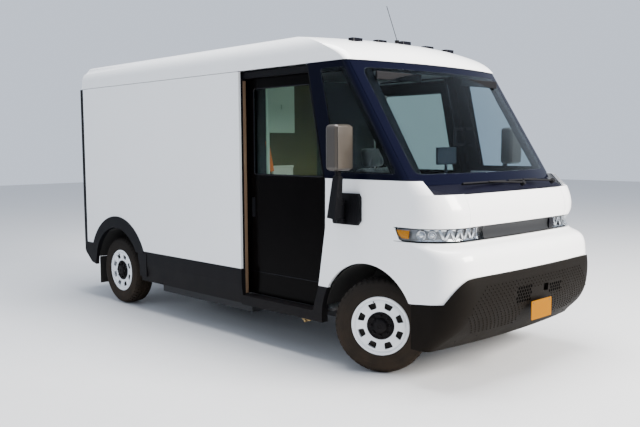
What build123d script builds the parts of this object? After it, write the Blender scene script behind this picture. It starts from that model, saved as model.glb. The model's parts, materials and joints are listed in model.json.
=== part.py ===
from build123d import *
import os
from math import atan2, degrees

# Walk-in mail and parcel delivery truck, battery electric, left-hand drive.
# Millimetres, +Z up, the front of the truck faces -Y, the truck's right side is at -X.
# Every piece is drawn with y = 0 at the front axle and z = 0 on the ground, and save() shifts it
# so that the stored origin is the centre of the whole truck's length and width, on the ground.

# ---- driving dimensions -------------------------------------------------------------
WHEELBASE = 3898
FRONT_OVERHANG = 945
REAR_OVERHANG = 1132
LENGTH = FRONT_OVERHANG + WHEELBASE + REAR_OVERHANG
FRONT_AXLE_Y = FRONT_OVERHANG - LENGTH / 2
HALF_WIDTH = 1030
ROOF_TOP = 2775
ROOF_BASE = 2487
BELT = 1540
CAB_BACK = 1575
BODY_BACK = 4570
PORTAL_BACK = 4650
PANEL_BOTTOM = 665
PANEL_SKIN = 25
SHELL = 25
GAP = 3

TYRE_RADIUS = 382
TYRE_WIDTH = 225
TYRE_CENTRE_X = 867
AXLE_Z = TYRE_RADIUS
RIM_RADIUS = 235
KINGPIN_X = 800
STEER_REST = 28
FRONT_ARCH_RADIUS = 500
REAR_ARCH_INNER = 500
REAR_ARCH_OUTER = 630
TUB_INNER_X = 512

CAB_FLOOR_TOP = 425
CARGO_FLOOR_TOP = 680
LINING_X = 860
DOOR_FACE_X = 920
DOOR_THICK = 34
DOOR_BOTTOM = 428
DOOR_TOP = 2440
REAR_OPENING_HALF = 905
REAR_OPENING_TOP = 2440
BULKHEAD_Y = 1602
BULKHEAD_OPENING = (-640, -80)
DRIVER_X = 420
SIDES = {"right": -1, "left": 1}

# Plan sections of the nose: height, foremost y, bow of the front line, corner radius.
BUMPER_SECTIONS = [(285, -690, 80, 70), (400, -800, 70, 140), (520, -885, 60, 200),
                   (620, -920, 60, 230), (720, -928, 55, 240), (842, -915, 50, 240)]
FASCIA_SECTIONS = [(600, -890, 50, 250), (720, -905, 50, 245), (842, -903, 50, 245), (950, -895, 48, 250),
                   (1010, -872, 45, 265), (1050, -820, 40, 300), (1085, -757, 36, 325)]
LAMP_SECTIONS = [(1085, -757, 36, 325), (1140, -740, 34, 340), (1195, -750, 30, 325)]
HOOD_SECTIONS = [(1195, -750, 30, 325), (1250, -762, 28, 300), (1350, -748, 28, 280), (1440, -705, 28, 260)]
SHOULDER_SECTIONS = [(1440, -705, 28, 260), (BELT, -600, 100, 150)]
COWL_SECTIONS = [(1440, -702, 28, 258), (1503, -565, 140, 80)]
GLASS_SECTIONS = [(1503, -562, 140, 70), (ROOF_BASE - GAP, 85, 125, 60)]
FOREHEAD_SECTIONS = [(ROOF_BASE, 80, 125, 60), (2545, 112, 150, 90), (2610, 190, 190, 140),
                     (2665, 310, 240, 200), (2705, 470, 260, 260), (2745, 760, 280, 300),
                     (ROOF_TOP + 10, 1120, 200, 300)]
DOOR_OUTLINE = [(CAB_BACK, ROOF_BASE), (670, ROOF_BASE), (450, 1530), (455, 1130), (540, 640),
                (615, 420), (CAB_BACK, 420)]
FENDER_BACK = 420
LAMP_BACK = -286
PILLAR_FOOT = (-406, BELT)
PILLAR_HEAD = (210, ROOF_BASE)


# ---- helpers ------------------------------------------------------------------------
def save(node, *solids):
    """Write one sub-part, moved from front-axle coordinates to the truck's own frame."""
    os.makedirs("parts", exist_ok=True)
    moved = [Pos(0, FRONT_AXLE_Y, 0) * solid for solid in flat(solids)]
    export_step(Compound(children=moved), f"parts/{node}.step")


def flat(shapes):
    """Every separate solid in a nested collection of shapes."""
    found = []
    for shape in shapes:
        if isinstance(shape, (list, tuple)):
            found += flat(shape)
        else:
            found += shape.solids()
    return found


def block(x0, x1, y0, y1, z0, z1):
    """A box between opposite corners, given in any order along each axis."""
    size = (abs(x1 - x0), abs(y1 - y0), abs(z1 - z0))
    return Pos((x0 + x1) / 2, (y0 + y1) / 2, (z0 + z1) / 2) * Box(*size)


def soft_block(x0, x1, y0, y1, z0, z1, radius, axis=None):
    """A box with rounded edges, all of them or only those along one axis."""
    body = block(x0, x1, y0, y1, z0, z1)
    edges = body.edges() if axis is None else body.edges().filter_by(axis)
    return fillet(edges, radius)


def rod_x(x0, x1, y, z, radius):
    return Pos((x0 + x1) / 2, y, z) * Rot(0, 90, 0) * Cylinder(radius, abs(x1 - x0))


def rod_y(x, y0, y1, z, radius):
    return Pos(x, (y0 + y1) / 2, z) * Rot(90, 0, 0) * Cylinder(radius, abs(y1 - y0))


def rod_z(x, y, z0, z1, radius):
    return Pos(x, y, (z0 + z1) / 2) * Cylinder(radius, abs(z1 - z0))


def rod_between(start, end, radius):
    """A round bar from one point to another."""
    run = Vector(*end) - Vector(*start)
    plane = Plane(origin=start, z_dir=run.normalized())
    return extrude(plane * Circle(radius), run.length)


def side_plate(outline, x0, x1):
    """A flat plate whose outline is given as (y, z) points, from x0 to x1."""
    low, high = min(x0, x1), max(x0, x1)
    face = Plane(origin=(low, 0, 0), x_dir=(0, 1, 0), z_dir=(1, 0, 0)) * Polygon(*outline, align=None)
    return extrude(face, high - low, dir=(1, 0, 0))


def front_plate(outline, y0, y1):
    """A flat plate whose outline is given as (x, z) points, from y0 to y1."""
    face = Plane(origin=(0, y1, 0), x_dir=(1, 0, 0), z_dir=(0, -1, 0)) * Polygon(*outline, align=None)
    return extrude(face, y1 - y0, dir=(0, -1, 0))


def plan_face(z, front, bow, corner, half_width, back):
    """A plan outline: bowed front line, rounded front corners, straight sides and back."""
    with BuildSketch(Plane.XY.offset(z)) as sketch:
        with BuildLine():
            ThreePointArc((-half_width, front + bow), (0, front), (half_width, front + bow))
            Polyline((half_width, front + bow), (half_width, back), (-half_width, back),
                     (-half_width, front + bow))
        make_face()
        fillet(sketch.vertices().group_by(Axis.Y)[0], corner)
    return sketch.sketch


def nose_solid(sections, inset=0, half_width=HALF_WIDTH, back=CAB_BACK, ruled=False):
    """A solid through plan sections, shrunk inwards by an inset on its front and sides."""
    faces = [plan_face(z, front + inset, bow, max(corner - inset, 20), half_width - inset, back)
             for z, front, bow, corner in sections]
    return loft(faces, ruled=ruled)


def nose_skin(sections, outer, inner, half_width=HALF_WIDTH, back=CAB_BACK, ruled=False):
    """The wall between two insets of the same nose solid, open at the back, top and bottom."""
    core = nose_solid(sections, inner, half_width, back + 1, ruled)
    return nose_solid(sections, outer, half_width, back, ruled) - core


def dome(y0, y1, inset=0, bow=45, corner=165):
    """The roof's cross-section, run along the truck."""
    width = HALF_WIDTH - inset
    top = ROOF_TOP - inset
    low = ROOF_BASE - 200
    with BuildSketch(Plane(origin=(0, y1, 0), x_dir=(1, 0, 0), z_dir=(0, -1, 0))) as sketch:
        with BuildLine():
            ThreePointArc((-width, top - bow), (0, top), (width, top - bow))
            Polyline((width, top - bow), (width, low), (-width, low), (-width, top - bow))
        make_face()
        top_corners = sketch.vertices().filter_by_position(Axis.Y, top - bow - 1, top - bow + 1)
        fillet(top_corners, corner - inset)
    return extrude(sketch.sketch, y1 - y0, dir=(0, -1, 0))


def both(make):
    """The same piece made for the right and the left side."""
    return [make(side) for side in SIDES.values()]


def arch_disc(y, radius, x0, x1):
    return rod_x(x0, x1, y, AXLE_Z, radius)


# ---- chassis ------------------------------------------------------------------------
def chassis_frame():
    """Two rails, low under the cab and raised over the rear axle, joined by cross members."""
    profile = [(-640, 290), (3120, 290), (3420, 520), (4565, 520), (4565, 630), (3360, 630),
               (3060, 395), (-640, 395)]
    rails = [side_plate(profile, side * 400, side * 470) for side in SIDES.values()]
    body = rails[0] + rails[1]
    for y in (-560, 760, 1560, 3020):
        body += block(-400, 400, y - 35, y + 35, 300, 385)
    for y in (3520, 4480):
        body += block(-400, 400, y - 35, y + 35, 535, 620)
    for side in SIDES.values():
        for y in (900, 1420):
            body += block(side * 470, side * 850, y - 30, y + 30, 300, 375)
    return body


def battery_pack():
    tray = soft_block(-385, 385, 830, 2960, 200, 285, 12, Axis.Z)
    pods = [soft_block(side * 490, side * 830, 1670, 3240, 210, 620, 14, Axis.Z) for side in (-1, 1)]
    return [tray] + pods


def cargo_floor():
    """Cargo deck with its two wheel boxes, and the lower cab floor with the riser between them."""
    deck_half = LINING_X - 14
    deck = block(-deck_half, deck_half, 1640, BODY_BACK, 655, CARGO_FLOOR_TOP)
    well_y = (WHEELBASE - 520, WHEELBASE + 520)
    for side in (-1, 1):
        deck -= block(side * 690, side * 1010, *well_y, 600, 700)
        box_ = block(side * 678, side * 846, well_y[0] - 14, well_y[1] + 14, CARGO_FLOOR_TOP - 20, 930)
        box_ -= block(side * 692, side * 900, *well_y, 600, 916)
        deck += box_
    cab = block(-876, 876, -330, 1640, CAB_FLOOR_TOP - 25, CAB_FLOOR_TOP)
    for side in (-1, 1):
        cab -= block(side * TUB_INNER_X, side * 900, -400, 530, 300, 500)
    riser = block(-876, 876, 1640, 1652, CAB_FLOOR_TOP - 25, 660)
    return deck + riser + cab


def suspension():
    """Leaf springs at the back, coil struts and lower arms at the front."""
    pieces = []
    for side in (-1, 1):
        for leaf in range(3):
            half = 560 - 120 * leaf
            low = 455 - 12 * leaf
            pieces.append(block(side * 510, side * 580, WHEELBASE - half, WHEELBASE + half, low, low + 11))
        pieces.append(rod_z(side * 560, 0, 560, 860, 45))
        pieces.append(rod_between((side * 496, 120, 345), (side * 615, 30, 300), 22))
        pieces.append(rod_between((side * 496, -120, 345), (side * 615, -30, 300), 22))
    return pieces


def rear_axle():
    """Drive unit across the rear axle with its tubes and hub faces."""
    housing = soft_block(-190, 190, WHEELBASE - 170, WHEELBASE + 150, 250, 500, 30, Axis.Y)
    tube = rod_x(-700, 700, WHEELBASE, AXLE_Z, 48)
    hubs = [rod_x(side * 690, side * 742, WHEELBASE, AXLE_Z, 110) for side in (-1, 1)]
    pads = [block(side * 505, side * 585, WHEELBASE - 60, WHEELBASE + 60, AXLE_Z, 430) for side in (-1, 1)]
    return housing + tube + hubs[0] + hubs[1] + pads[0] + pads[1]


# ---- wheels -------------------------------------------------------------------------
def ring_x(profile):
    """Revolve a closed (x, radius) outline about the X axis."""
    face = Plane.XY * Polygon(*profile, align=None)
    return revolve(face, Axis.X)


def tyre_solid():
    """Tyre with rounded shoulders and an open inside, centred on the origin, axle along X."""
    half, tall = TYRE_WIDTH / 2, TYRE_RADIUS
    bead = RIM_RADIUS + 1
    outside = [(-half + 16, bead), (-half + 4, bead + 22), (-half, bead + 60), (-half + 5, tall - 52),
               (-half + 16, tall - 20), (-half + 34, tall - 6), (-half + 60, tall), (half - 60, tall),
               (half - 34, tall - 6), (half - 16, tall - 20), (half - 5, tall - 52), (half, bead + 60),
               (half - 4, bead + 22), (half - 16, bead)]
    inside = [(half - 34, bead), (half - 16, bead + 30), (half - 18, tall - 50), (half - 50, tall - 18),
              (-half + 50, tall - 18), (-half + 18, tall - 50), (-half + 16, bead + 30), (-half + 34, bead)]
    return ring_x(outside + inside)


def rim_solids():
    """Steel disc wheel with eight windows, its black centre cap and the ring of wheel nuts."""
    barrel = ring_x([(-92, 235), (-92, 221), (-80, 215), (-60, 205), (70, 205), (80, 215), (92, 221),
                     (92, 235), (99, 235), (99, 218), (84, 207), (72, 196), (-62, 196), (-84, 207),
                     (-99, 218), (-99, 235)])
    disc = ring_x([(-84, 208), (-88, 178), (-84, 120), (-76, 104), (-76, 46), (-64, 46), (-64, 108),
                   (-74, 124), (-76, 176), (-70, 197)])
    for index in range(8):
        window = [(-24, 142), (24, 142), (31, 180), (-31, 180)]
        face = Plane(origin=(-140, 0, 0), x_dir=(0, 1, 0), z_dir=(1, 0, 0)) * Polygon(*window, align=None)
        disc -= Rot(45 * index + 22.5, 0, 0) * extrude(face, 120, dir=(1, 0, 0))
    cap = ring_x([(-77, 78), (-100, 76), (-108, 62), (-110, 40), (-110, 0), (-77, 0)])
    nuts = [Rot(45 * index, 0, 0) * rod_x(-104, -77, 88, 0, 10) for index in range(8)]
    return [barrel + disc, cap] + nuts


def wheel_place(side, axle_y, steer):
    """Where a wheel drawn at the origin goes; left-hand wheels are turned to face outwards."""
    turn = Rot(0, 0, 0 if side < 0 else 180)
    place = Pos(side * TYRE_CENTRE_X, axle_y, AXLE_Z)
    if steer:
        pin = Pos(side * KINGPIN_X, axle_y, 0)
        return pin * Rot(0, 0, steer) * Pos(-side * KINGPIN_X, -axle_y, 0) * place * turn
    return place * turn


def knuckle(side):
    """Steering knuckle with its arm, turning about the upright kingpin."""
    body = soft_block(side * 688, side * 730, -60, 60, AXLE_Z - 120, AXLE_Z + 150, 12, Axis.X)
    body += rod_x(side * 725, side * 788, 0, AXLE_Z, 44)
    body += rod_z(side * 680, 0, 300, 350, 24) + rod_z(side * 680, 0, 450, 520, 24)
    body += block(side * 660, side * 690, 40, 150, 330, 350)
    pin = Pos(side * KINGPIN_X, 0, 0)
    return pin * Rot(0, 0, STEER_REST) * Pos(-side * KINGPIN_X, 0, 0) * body


# ---- cargo body ---------------------------------------------------------------------
def side_panel(side):
    panel = block(side * (HALF_WIDTH - PANEL_SKIN), side * HALF_WIDTH, CAB_BACK + GAP, BODY_BACK,
                  PANEL_BOTTOM, ROOF_BASE - 5)
    return panel - arch_disc(WHEELBASE - 38, REAR_ARCH_OUTER + 2, side * 900, side * 1100)


def cargo_lining(side):
    wall = block(side * (LINING_X - 12), side * LINING_X, 1655, BODY_BACK,
                 CARGO_FLOOR_TOP + 1, ROOF_BASE - 20)
    return wall - arch_disc(WHEELBASE, REAR_ARCH_INNER + 10, side * 800, side * 900)


def roof_groove(side):
    """A shallow channel along the roof shoulder that runs out towards the front."""
    return rod_between((side * 1050, 4700, 2752), (side * 1096, 900, 2776), 105)


def cargo_roof():
    """Roof cap with its cant rails; the back end slopes down to the rear portal."""
    outer = dome(CAB_BACK + GAP, 4600) - block(-1100, 1100, 1000, 4700, 2000, ROOF_BASE)
    tail = [(4510, 2900), (4600, 2487), (4700, 2400), (4700, 2900)]
    outer -= side_plate(tail, -1100, 1100)
    inner = dome(1500, 4480, 22)
    rim = block(-960, 960, 1500, 4540, 2300, 2560)
    shell = outer - inner - rim
    for side in (-1, 1):
        shell -= roof_groove(side)
    return shell


def cab_roof_envelope(inset=0):
    """The forehead and cab roof as a filled shape, shrunk by an inset."""
    swept = nose_solid(FOREHEAD_SECTIONS, inset, HALF_WIDTH + 3, CAB_BACK + inset / 20)
    return swept & dome(-100, CAB_BACK + 15 + inset, inset)


def on_roof(body):
    """What is left of a fitting above the cab roof's surface."""
    return body - cab_roof_envelope()


def cab_roof():
    """White forehead over the windshield that rises into the roof."""
    shell = cab_roof_envelope() - cab_roof_envelope(24)
    for side in (-1, 1):
        shell -= roof_groove(side)
    return shell


def rear_portal():
    """Black frame round the rear doors, with the sill under them."""
    frame_ = block(-HALF_WIDTH, HALF_WIDTH, BODY_BACK + GAP, PORTAL_BACK, 570, ROOF_BASE - 4)
    frame_ -= block(-REAR_OPENING_HALF, REAR_OPENING_HALF, 4500, 4700, 660, REAR_OPENING_TOP)
    edges = frame_.edges().filter_by(Axis.Z).filter_by_position(Axis.X, -HALF_WIDTH - 1, -HALF_WIDTH + 1)
    edges += frame_.edges().filter_by(Axis.Z).filter_by_position(Axis.X, HALF_WIDTH - 1, HALF_WIDTH + 1)
    return fillet(edges.filter_by_position(Axis.Y, PORTAL_BACK - 1, PORTAL_BACK + 1), 18)


def rear_door(side):
    """One leaf of the rear doors with its handle and hinge straps."""
    leaf = soft_block(side * 4, side * 898, 4604, 4644, 668, 2432, 6, Axis.Y)
    leaf -= block(side * 70, side * 820, 4640, 4660, 1560, 2340)
    leaf -= block(side * 70, side * 820, 4640, 4660, 760, 1460)
    handle = block(side * 30, side * 60, 4644, 4668, 1250, 1480)
    straps = [block(side * 840, side * 897, 4644, 4652, z - 30, z + 30) for z in (820, 1540, 2280)]
    return leaf + handle + straps[0] + straps[1] + straps[2]


def tail_lamp(side):
    upper = soft_block(side * 930, side * 1005, 4650.5, 4668, 1120, 1400, 6, Axis.Y)
    lower = soft_block(side * 930, side * 1005, 4650.5, 4668, 980, 1100, 6, Axis.Y)
    return [upper, lower]


def rear_bumper():
    """Rear step on two brackets bolted to the ends of the rails."""
    step = soft_block(-780, 780, 4672, PORTAL_BACK + 380, 470, 545, 20, Axis.Z)
    for side in (-1, 1):
        step += block(side * 400, side * 470, 4592, 4700, 500, 540)
    return step


def side_skirt(side):
    """Black lower body: sill under the door, skirt, wheel-arch moulding and rear corner."""
    profile = [(side * HALF_WIDTH, 663), (side * HALF_WIDTH, 520), (side * 1006, 335), (side * 988, 335),
               (side * 990, 520), (side * 990, 663)]
    skirt = front_plate(profile, CAB_BACK, 3420)
    tail = side_plate([(4290, 390), (4480, 430), (4610, 530), (4640, 567), (BODY_BACK, 567),
                       (BODY_BACK, 663), (4290, 663)], side * 990, side * HALF_WIDTH)
    centre = WHEELBASE - 38
    moulding = arch_disc(centre, REAR_ARCH_OUTER, side * 985, side * 1038)
    moulding -= block(0, side * 1200, 3000, 4800, -500, 640)
    moulding += block(side * 985, side * 1035, centre - 620, centre - 480, 390, 645)
    moulding += block(side * 985, side * 1035, centre + 440, centre + 480, 400, 645)
    moulding -= block(0, side * 1200, BODY_BACK, 4800, 640, 1200)
    hole = arch_disc(WHEELBASE - 20, REAR_ARCH_INNER, side * 900, side * 1100)
    sill = block(side * 905, side * HALF_WIDTH, 560, CAB_BACK + 1, 330, 418)
    post = side_plate([(415, 330), (415, 500), (430, 636), (536, 636), (612, 416), (612, 330)],
                      side * 960, side * HALF_WIDTH)
    post -= arch_disc(0, FRONT_ARCH_RADIUS, side * 900, side * 1100)
    rear = skirt + tail + moulding - hole
    return [rear, post + sill]


def arch_liner(side):
    """Inner wheel tubs and the rear mud flap."""
    def tub(y, radius, x_in, drop):
        ring = arch_disc(y, radius, side * x_in, side * 985)
        ring -= arch_disc(y, radius - 6, side * (x_in + 6), side * 1100)
        return ring - block(0, side * 1200, y - 900, y + 900, -500, drop)
    front = tub(0, FRONT_ARCH_RADIUS - 5, TUB_INNER_X - 6, 480)
    front -= rod_z(side * 560, 0, 400, 920, 60)
    rear = tub(WHEELBASE, 490, 700, 500)
    flap = block(side * 740, side * 985, 4358, 4366, 180, 498)
    return [front, rear, flap]


# ---- cab ----------------------------------------------------------------------------
def cut_door_openings(body):
    for side in (-1, 1):
        body -= side_plate(DOOR_OUTLINE, side * 700, side * 1100)
    return body


def bumper_region():
    """Side-view region below the line where white body meets black bumper."""
    outline = [(-457, 200), (-457, 622), (-740, 650), (-868, 842), (-1100, 842), (-1100, 200)]
    return side_plate(outline, -1100, 1100)


def front_clip():
    """White front body in one piece: fascia under the lamps, corners, and both fenders."""
    fascia = nose_skin(FASCIA_SECTIONS, 0, SHELL, back=FENDER_BACK)
    fascia -= side_plate([(-1200, 100), (-1200, 847), (-867, 847), (-739, 655), (-457, 627), (700, 640),
                          (700, 100)], -1100, 1100)
    for side in (-1, 1):
        fascia -= arch_disc(0, FRONT_ARCH_RADIUS, side * 700, side * 1100)
    band = nose_skin(LAMP_SECTIONS, 0, SHELL, back=FENDER_BACK)
    band -= block(-1100, 1100, -900, LAMP_BACK, 1000, 1300)
    hood = nose_skin(HOOD_SECTIONS, 0, SHELL, back=FENDER_BACK) - block(-700, 700, -900, -400, 1100, 1600)
    shoulder = nose_skin(SHOULDER_SECTIONS, 0, SHELL, back=FENDER_BACK)
    shoulder -= block(-957, 957, -900, 300, 1400, 1600)
    return fascia + band + hood + shoulder + both_fender_backs()


def both_fender_backs():
    """Flat fender sides between the wheel arch and the door opening."""
    outline = [(FENDER_BACK, 640), (536, 640), (452, 1130), (447, 1530), (449, BELT), (FENDER_BACK, BELT)]
    pieces = [side_plate(outline, side * (HALF_WIDTH - SHELL), side * HALF_WIDTH) for side in (-1, 1)]
    return pieces[0] + pieces[1]


def nose_panel():
    """The white panel between lamps and windshield, lifted off as one piece."""
    skin = nose_skin(HOOD_SECTIONS, 0.5, SHELL)
    return skin & block(-697, 697, -900, -450, 1196, 1436)


def front_bumper():
    """Black bumper with its lower lip and the tow-eye recess."""
    skin = nose_skin(BUMPER_SECTIONS, 0, 30, ruled=False)
    skin &= bumper_region()
    skin -= block(60, 130, -1000, -860, 640, 700)
    return skin


def cowl():
    skin = nose_skin(COWL_SECTIONS, 0, 30, half_width=955)
    return skin & block(-953, 953, -800, -380, 1441, 1502)


def glass_skin(outer, inner):
    """A layer of the greenhouse wall, from one inset to another."""
    return nose_skin(GLASS_SECTIONS, outer, inner, ruled=True)


def ahead_of_pillar(offset):
    """Everything ahead of the line that parts the windshield from the quarter window."""
    return side_plate([(PILLAR_FOOT[0] - 120 + offset, 1350), (PILLAR_FOOT[0] + offset, BELT),
                       (PILLAR_HEAD[0] + offset, ROOF_BASE), (PILLAR_HEAD[0] + 60 + offset, 2600),
                       (-900, 2600), (-900, 1350)], -1100, 1100)


def below_belt(offset):
    """The side walls below the belt line, which belong to the fenders."""
    return [block(side * 956, side * 1100, -700, 1700, 1400, BELT + offset) for side in (-1, 1)]


def windshield():
    glass = glass_skin(0, 6) & ahead_of_pillar(-2)
    for wall in below_belt(4):
        glass -= wall
    return glass


def quarter_window(side):
    glass = glass_skin(0, 6) - ahead_of_pillar(2)
    for wall in below_belt(4):
        glass -= wall
    glass -= side_plate([(452, 1400), (452, 1530), (672, 2600), (1700, 2600), (1700, 1400)], -1100, 1100)
    return glass & block(0, side * 1100, -600, 700, 1500, 2600)


def cab_frame():
    """Pillars, header and door posts behind the glass, with window and door openings."""
    wall = glass_skin(6.5, 44)
    for strip in below_belt(4):
        wall -= strip
    wall = cut_door_openings(wall)
    # the windshield opening, slanted like the glass
    opening = [(-850, 1535), (850, 1535), (820, 2400), (-820, 2400)]
    wall -= front_plate(opening, -700, 350)
    quarter = [(-245, 1600), (330, 1600), (520, 2400), (262, 2400)]
    for side in (-1, 1):
        wall -= side_plate(quarter, side * 860, side * 1100)
    # upright posts at the back of the cab, behind the sliding doors
    for side in (-1, 1):
        wall += block(side * 950, side * 986, CAB_BACK - 1, CAB_BACK + 36, 420, ROOF_BASE - 6)
    return wall


def door_rails():
    """Upper and lower tracks that carry the sliding cab doors."""
    rails = []
    for side in (-1, 1):
        rails.append(block(side * 862, side * 936, 690, 2700, 2446, 2458))
        rails.append(block(side * 926, side * 934, 690, 2700, 2424, 2444))
    return rails


def cab_door(side):
    """Sliding door: a frame with a tall window above the belt and a closed lower half."""
    outline = [(CAB_BACK + 38, DOOR_BOTTOM), (CAB_BACK + 38, DOOR_TOP), (690, DOOR_TOP), (480, 1530),
               (480, 1130), (560, 640), (632, DOOR_BOTTOM)]
    inner, outer = side * (DOOR_FACE_X - DOOR_THICK), side * DOOR_FACE_X
    panel = side_plate(outline, inner, outer)
    window = [(1500, 1540), (1500, 2330), (740, 2330), (575, 1540)]
    return panel - side_plate(window, side * 800, side * 1000)


def door_window(side):
    """Fixed glass that fills the door's window."""
    window = [(1499, 1541), (1499, 2329), (741, 2329), (576, 1541)]
    return side_plate(window, side * (DOOR_FACE_X - 20), side * (DOOR_FACE_X - 14))


def bulkhead():
    """Partition between cab and cargo, with a walk-through opening."""
    wall = block(-845, 845, BULKHEAD_Y, BULKHEAD_Y + 30, CAB_FLOOR_TOP + 1, ROOF_BASE - 30)
    low, high = BULKHEAD_OPENING
    wall -= block(low, high, BULKHEAD_Y - 10, BULKHEAD_Y + 50, CARGO_FLOOR_TOP + 2, 2380)
    return wall


def bulkhead_door():
    """Sliding partition door with its pull."""
    low, high = BULKHEAD_OPENING
    leaf = block(low - 30, high + 30, BULKHEAD_Y - 34, BULKHEAD_Y - 6, 640, 2410)
    leaf -= block(low + 15, low + 130, BULKHEAD_Y - 40, BULKHEAD_Y - 24, 2155, 2200)
    return leaf


def dashboard():
    """Hollow dashboard with an instrument binnacle and a centre display, and the column tube."""
    outer = [(-500, 1180), (-470, 1455), (-380, 1470), (-130, 1400), (-60, 1330), (-90, 1120), (-250, 1000),
             (-480, 1000)]
    inner = [(-475, 1190), (-450, 1430), (-380, 1440), (-145, 1375), (-90, 1320), (-115, 1135),
             (-260, 1028), (-475, 1028)]
    body = side_plate(outer, -880, 880) - side_plate(inner, -855, 855)
    body += soft_block(DRIVER_X - 190, DRIVER_X + 190, -250, -110, 1380, 1490, 14, Axis.X)
    body += soft_block(-60, 200, -110, -80, 1360, 1560, 10, Axis.Y) + block(40, 100, -150, -90, 1330, 1400)
    return [body, rod_between((DRIVER_X, -60, 1150), (DRIVER_X, 105, 1222), 38)]


STEERING_CENTRE = (DRIVER_X, 178, 1254)
STEERING_AXIS = Vector(0, -0.917, -0.399)
STEERING_RATIO = 14
WHEEL_TURN = STEER_REST * STEERING_RATIO % 360


def steering_wheel():
    """Rim, three spokes and the hub pad, square to the column."""
    plane = Plane(origin=STEERING_CENTRE, x_dir=(1, 0, 0), z_dir=STEERING_AXIS)
    body = Torus(205, 16) + Pos(0, 0, 4) * Cylinder(62, 44) + Pos(0, 0, 50) * Cylinder(24, 56)
    for angle in (0, 180, 90):
        body += Rot(0, 0, angle) * Pos(125, 0, 0) * Box(160, 34, 14)
    return plane * Rot(0, 0, -WHEEL_TURN) * body


def seat_base():
    pedestal = soft_block(DRIVER_X - 170, DRIVER_X + 170, 640, 1010, CAB_FLOOR_TOP + 1, 790, 20, Axis.Z)
    return pedestal


def seat_cushion():
    return soft_block(DRIVER_X - 245, DRIVER_X + 245, 560, 1060, 792, 925, 40)


def seat_back():
    """Backrest and headrest, leaning back a little."""
    back = Pos(DRIVER_X, 1110, 928) * Rot(-10, 0, 0) * Pos(0, 0, 335) * Box(480, 120, 660)
    back = fillet(back.edges(), 40)
    head = Pos(DRIVER_X, 1110, 928) * Rot(-10, 0, 0) * Pos(0, 0, 775) * Box(270, 90, 180)
    posts = Pos(DRIVER_X, 1110, 928) * Rot(-10, 0, 0) * Pos(0, 0, 670) * (
        Pos(-60, 0, 0) * Cylinder(7, 60) + Pos(60, 0, 0) * Cylinder(7, 60))
    return back + fillet(head.edges(), 30) + posts


def grab_rails():
    """Pale upright pole by the entry and handles on the windshield pillars."""
    pole = rod_z(-800, 1440, CAB_FLOOR_TOP + 1, 2400, 16)
    feet = [rod_z(-800, 1440, CAB_FLOOR_TOP + 1, CAB_FLOOR_TOP + 9, 40), rod_z(-800, 1440, 2390, 2440, 40)]
    handle = rod_z(835, 520, 1790, 1970, 13) + rod_between((835, 520, 1803), (900, 440, 1803), 11)
    handle += rod_between((835, 520, 1957), (900, 440, 1957), 11)
    return [pole + feet[0] + feet[1], handle]


def pedal(x, wide):
    """Hanging pedal: a pad on an arm under its pivot."""
    pad = Pos(x, 92, 560) * Rot(-25, 0, 0) * Box(wide, 14, 90)
    arm = rod_between((x, 84, 580), (x, -20, 860), 9)
    return pad + arm + rod_x(x - 22, x + 22, -20, 870, 14)


# ---- lamps and trim -----------------------------------------------------------------
def lamp_part(inner_x, outer_x, low, high, outer, inner):
    """A slice of the lamp band on both sides, between two insets."""
    skin = nose_skin(LAMP_SECTIONS, outer, inner)
    slices = []
    for side in (-1, 1):
        slices.append(skin & block(side * inner_x, side * outer_x, -900, LAMP_BACK - 1, low, high))
    return slices


def headlamp_housings():
    """Lamp bowls behind the lenses, with a round projector in each."""
    solids = lamp_part(508, HALF_WIDTH + 5, 1094, 1190, 38, 56)
    for side in (-1, 1):
        solids.append(Pos(side * 838, -560, 1142) * Rot(0, 0, side * 35) * rod_y(0, -30, 30, 0, 34))
    return solids


def headlamp_lenses():
    return lamp_part(504, HALF_WIDTH + 5, 1094, 1190, 4, 9)


def light_bar():
    """Satin bar between the headlamps."""
    skin = nose_skin(LAMP_SECTIONS, 10, 40)
    return skin & block(-498, 498, -900, LAMP_BACK, 1094, 1190)


def marker_lamps():
    """Five clearance lamps along the front of the roof."""
    solids = []
    for x in (-640, -330, 0, 330, 640):
        crown = 2722 if x else 2730
        lamp = soft_block(x - 62, x + 62, 440, 505, 2640, crown - abs(x) / 40, 14, Axis.Z)
        solids.append(on_roof(lamp))
    return solids


def antenna():
    """Whip antenna on its roof base, and the low stub aerial behind it."""
    foot = on_roof(rod_z(0, 560, 2700, 2752, 20))
    whip = foot + rod_between((0, 560, 2750), (-50, 640, 3060), 3)
    return [whip, on_roof(rod_z(-560, 1300, 2740, 2798, 20))]


def number_plate():
    """Blank front plate on its bracket."""
    plate = soft_block(-150, 150, -FRONT_OVERHANG, -FRONT_OVERHANG + 4, 436, 586, 10, Axis.Y)
    bracket = block(-90, 90, -FRONT_OVERHANG + 4, -905, 470, 560)
    return [plate, bracket]


# ---- mirrors and wipers --------------------------------------------------------------
def mirror_base(side):
    outline = [(40, 1215), (70, 1180), (330, 1180), (340, 1195), (340, 1415), (325, 1430), (60, 1430),
               (40, 1400)]
    plate = side_plate(outline, side * (HALF_WIDTH + 1), side * 1058)
    lugs = [rod_z(side * 1090, 215, z, z + 30, 34) + block(side * 1050, side * 1090, 190, 240, z, z + 30)
            for z in (1192, 1345)]
    return plate + lugs[0] + lugs[1]


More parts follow.
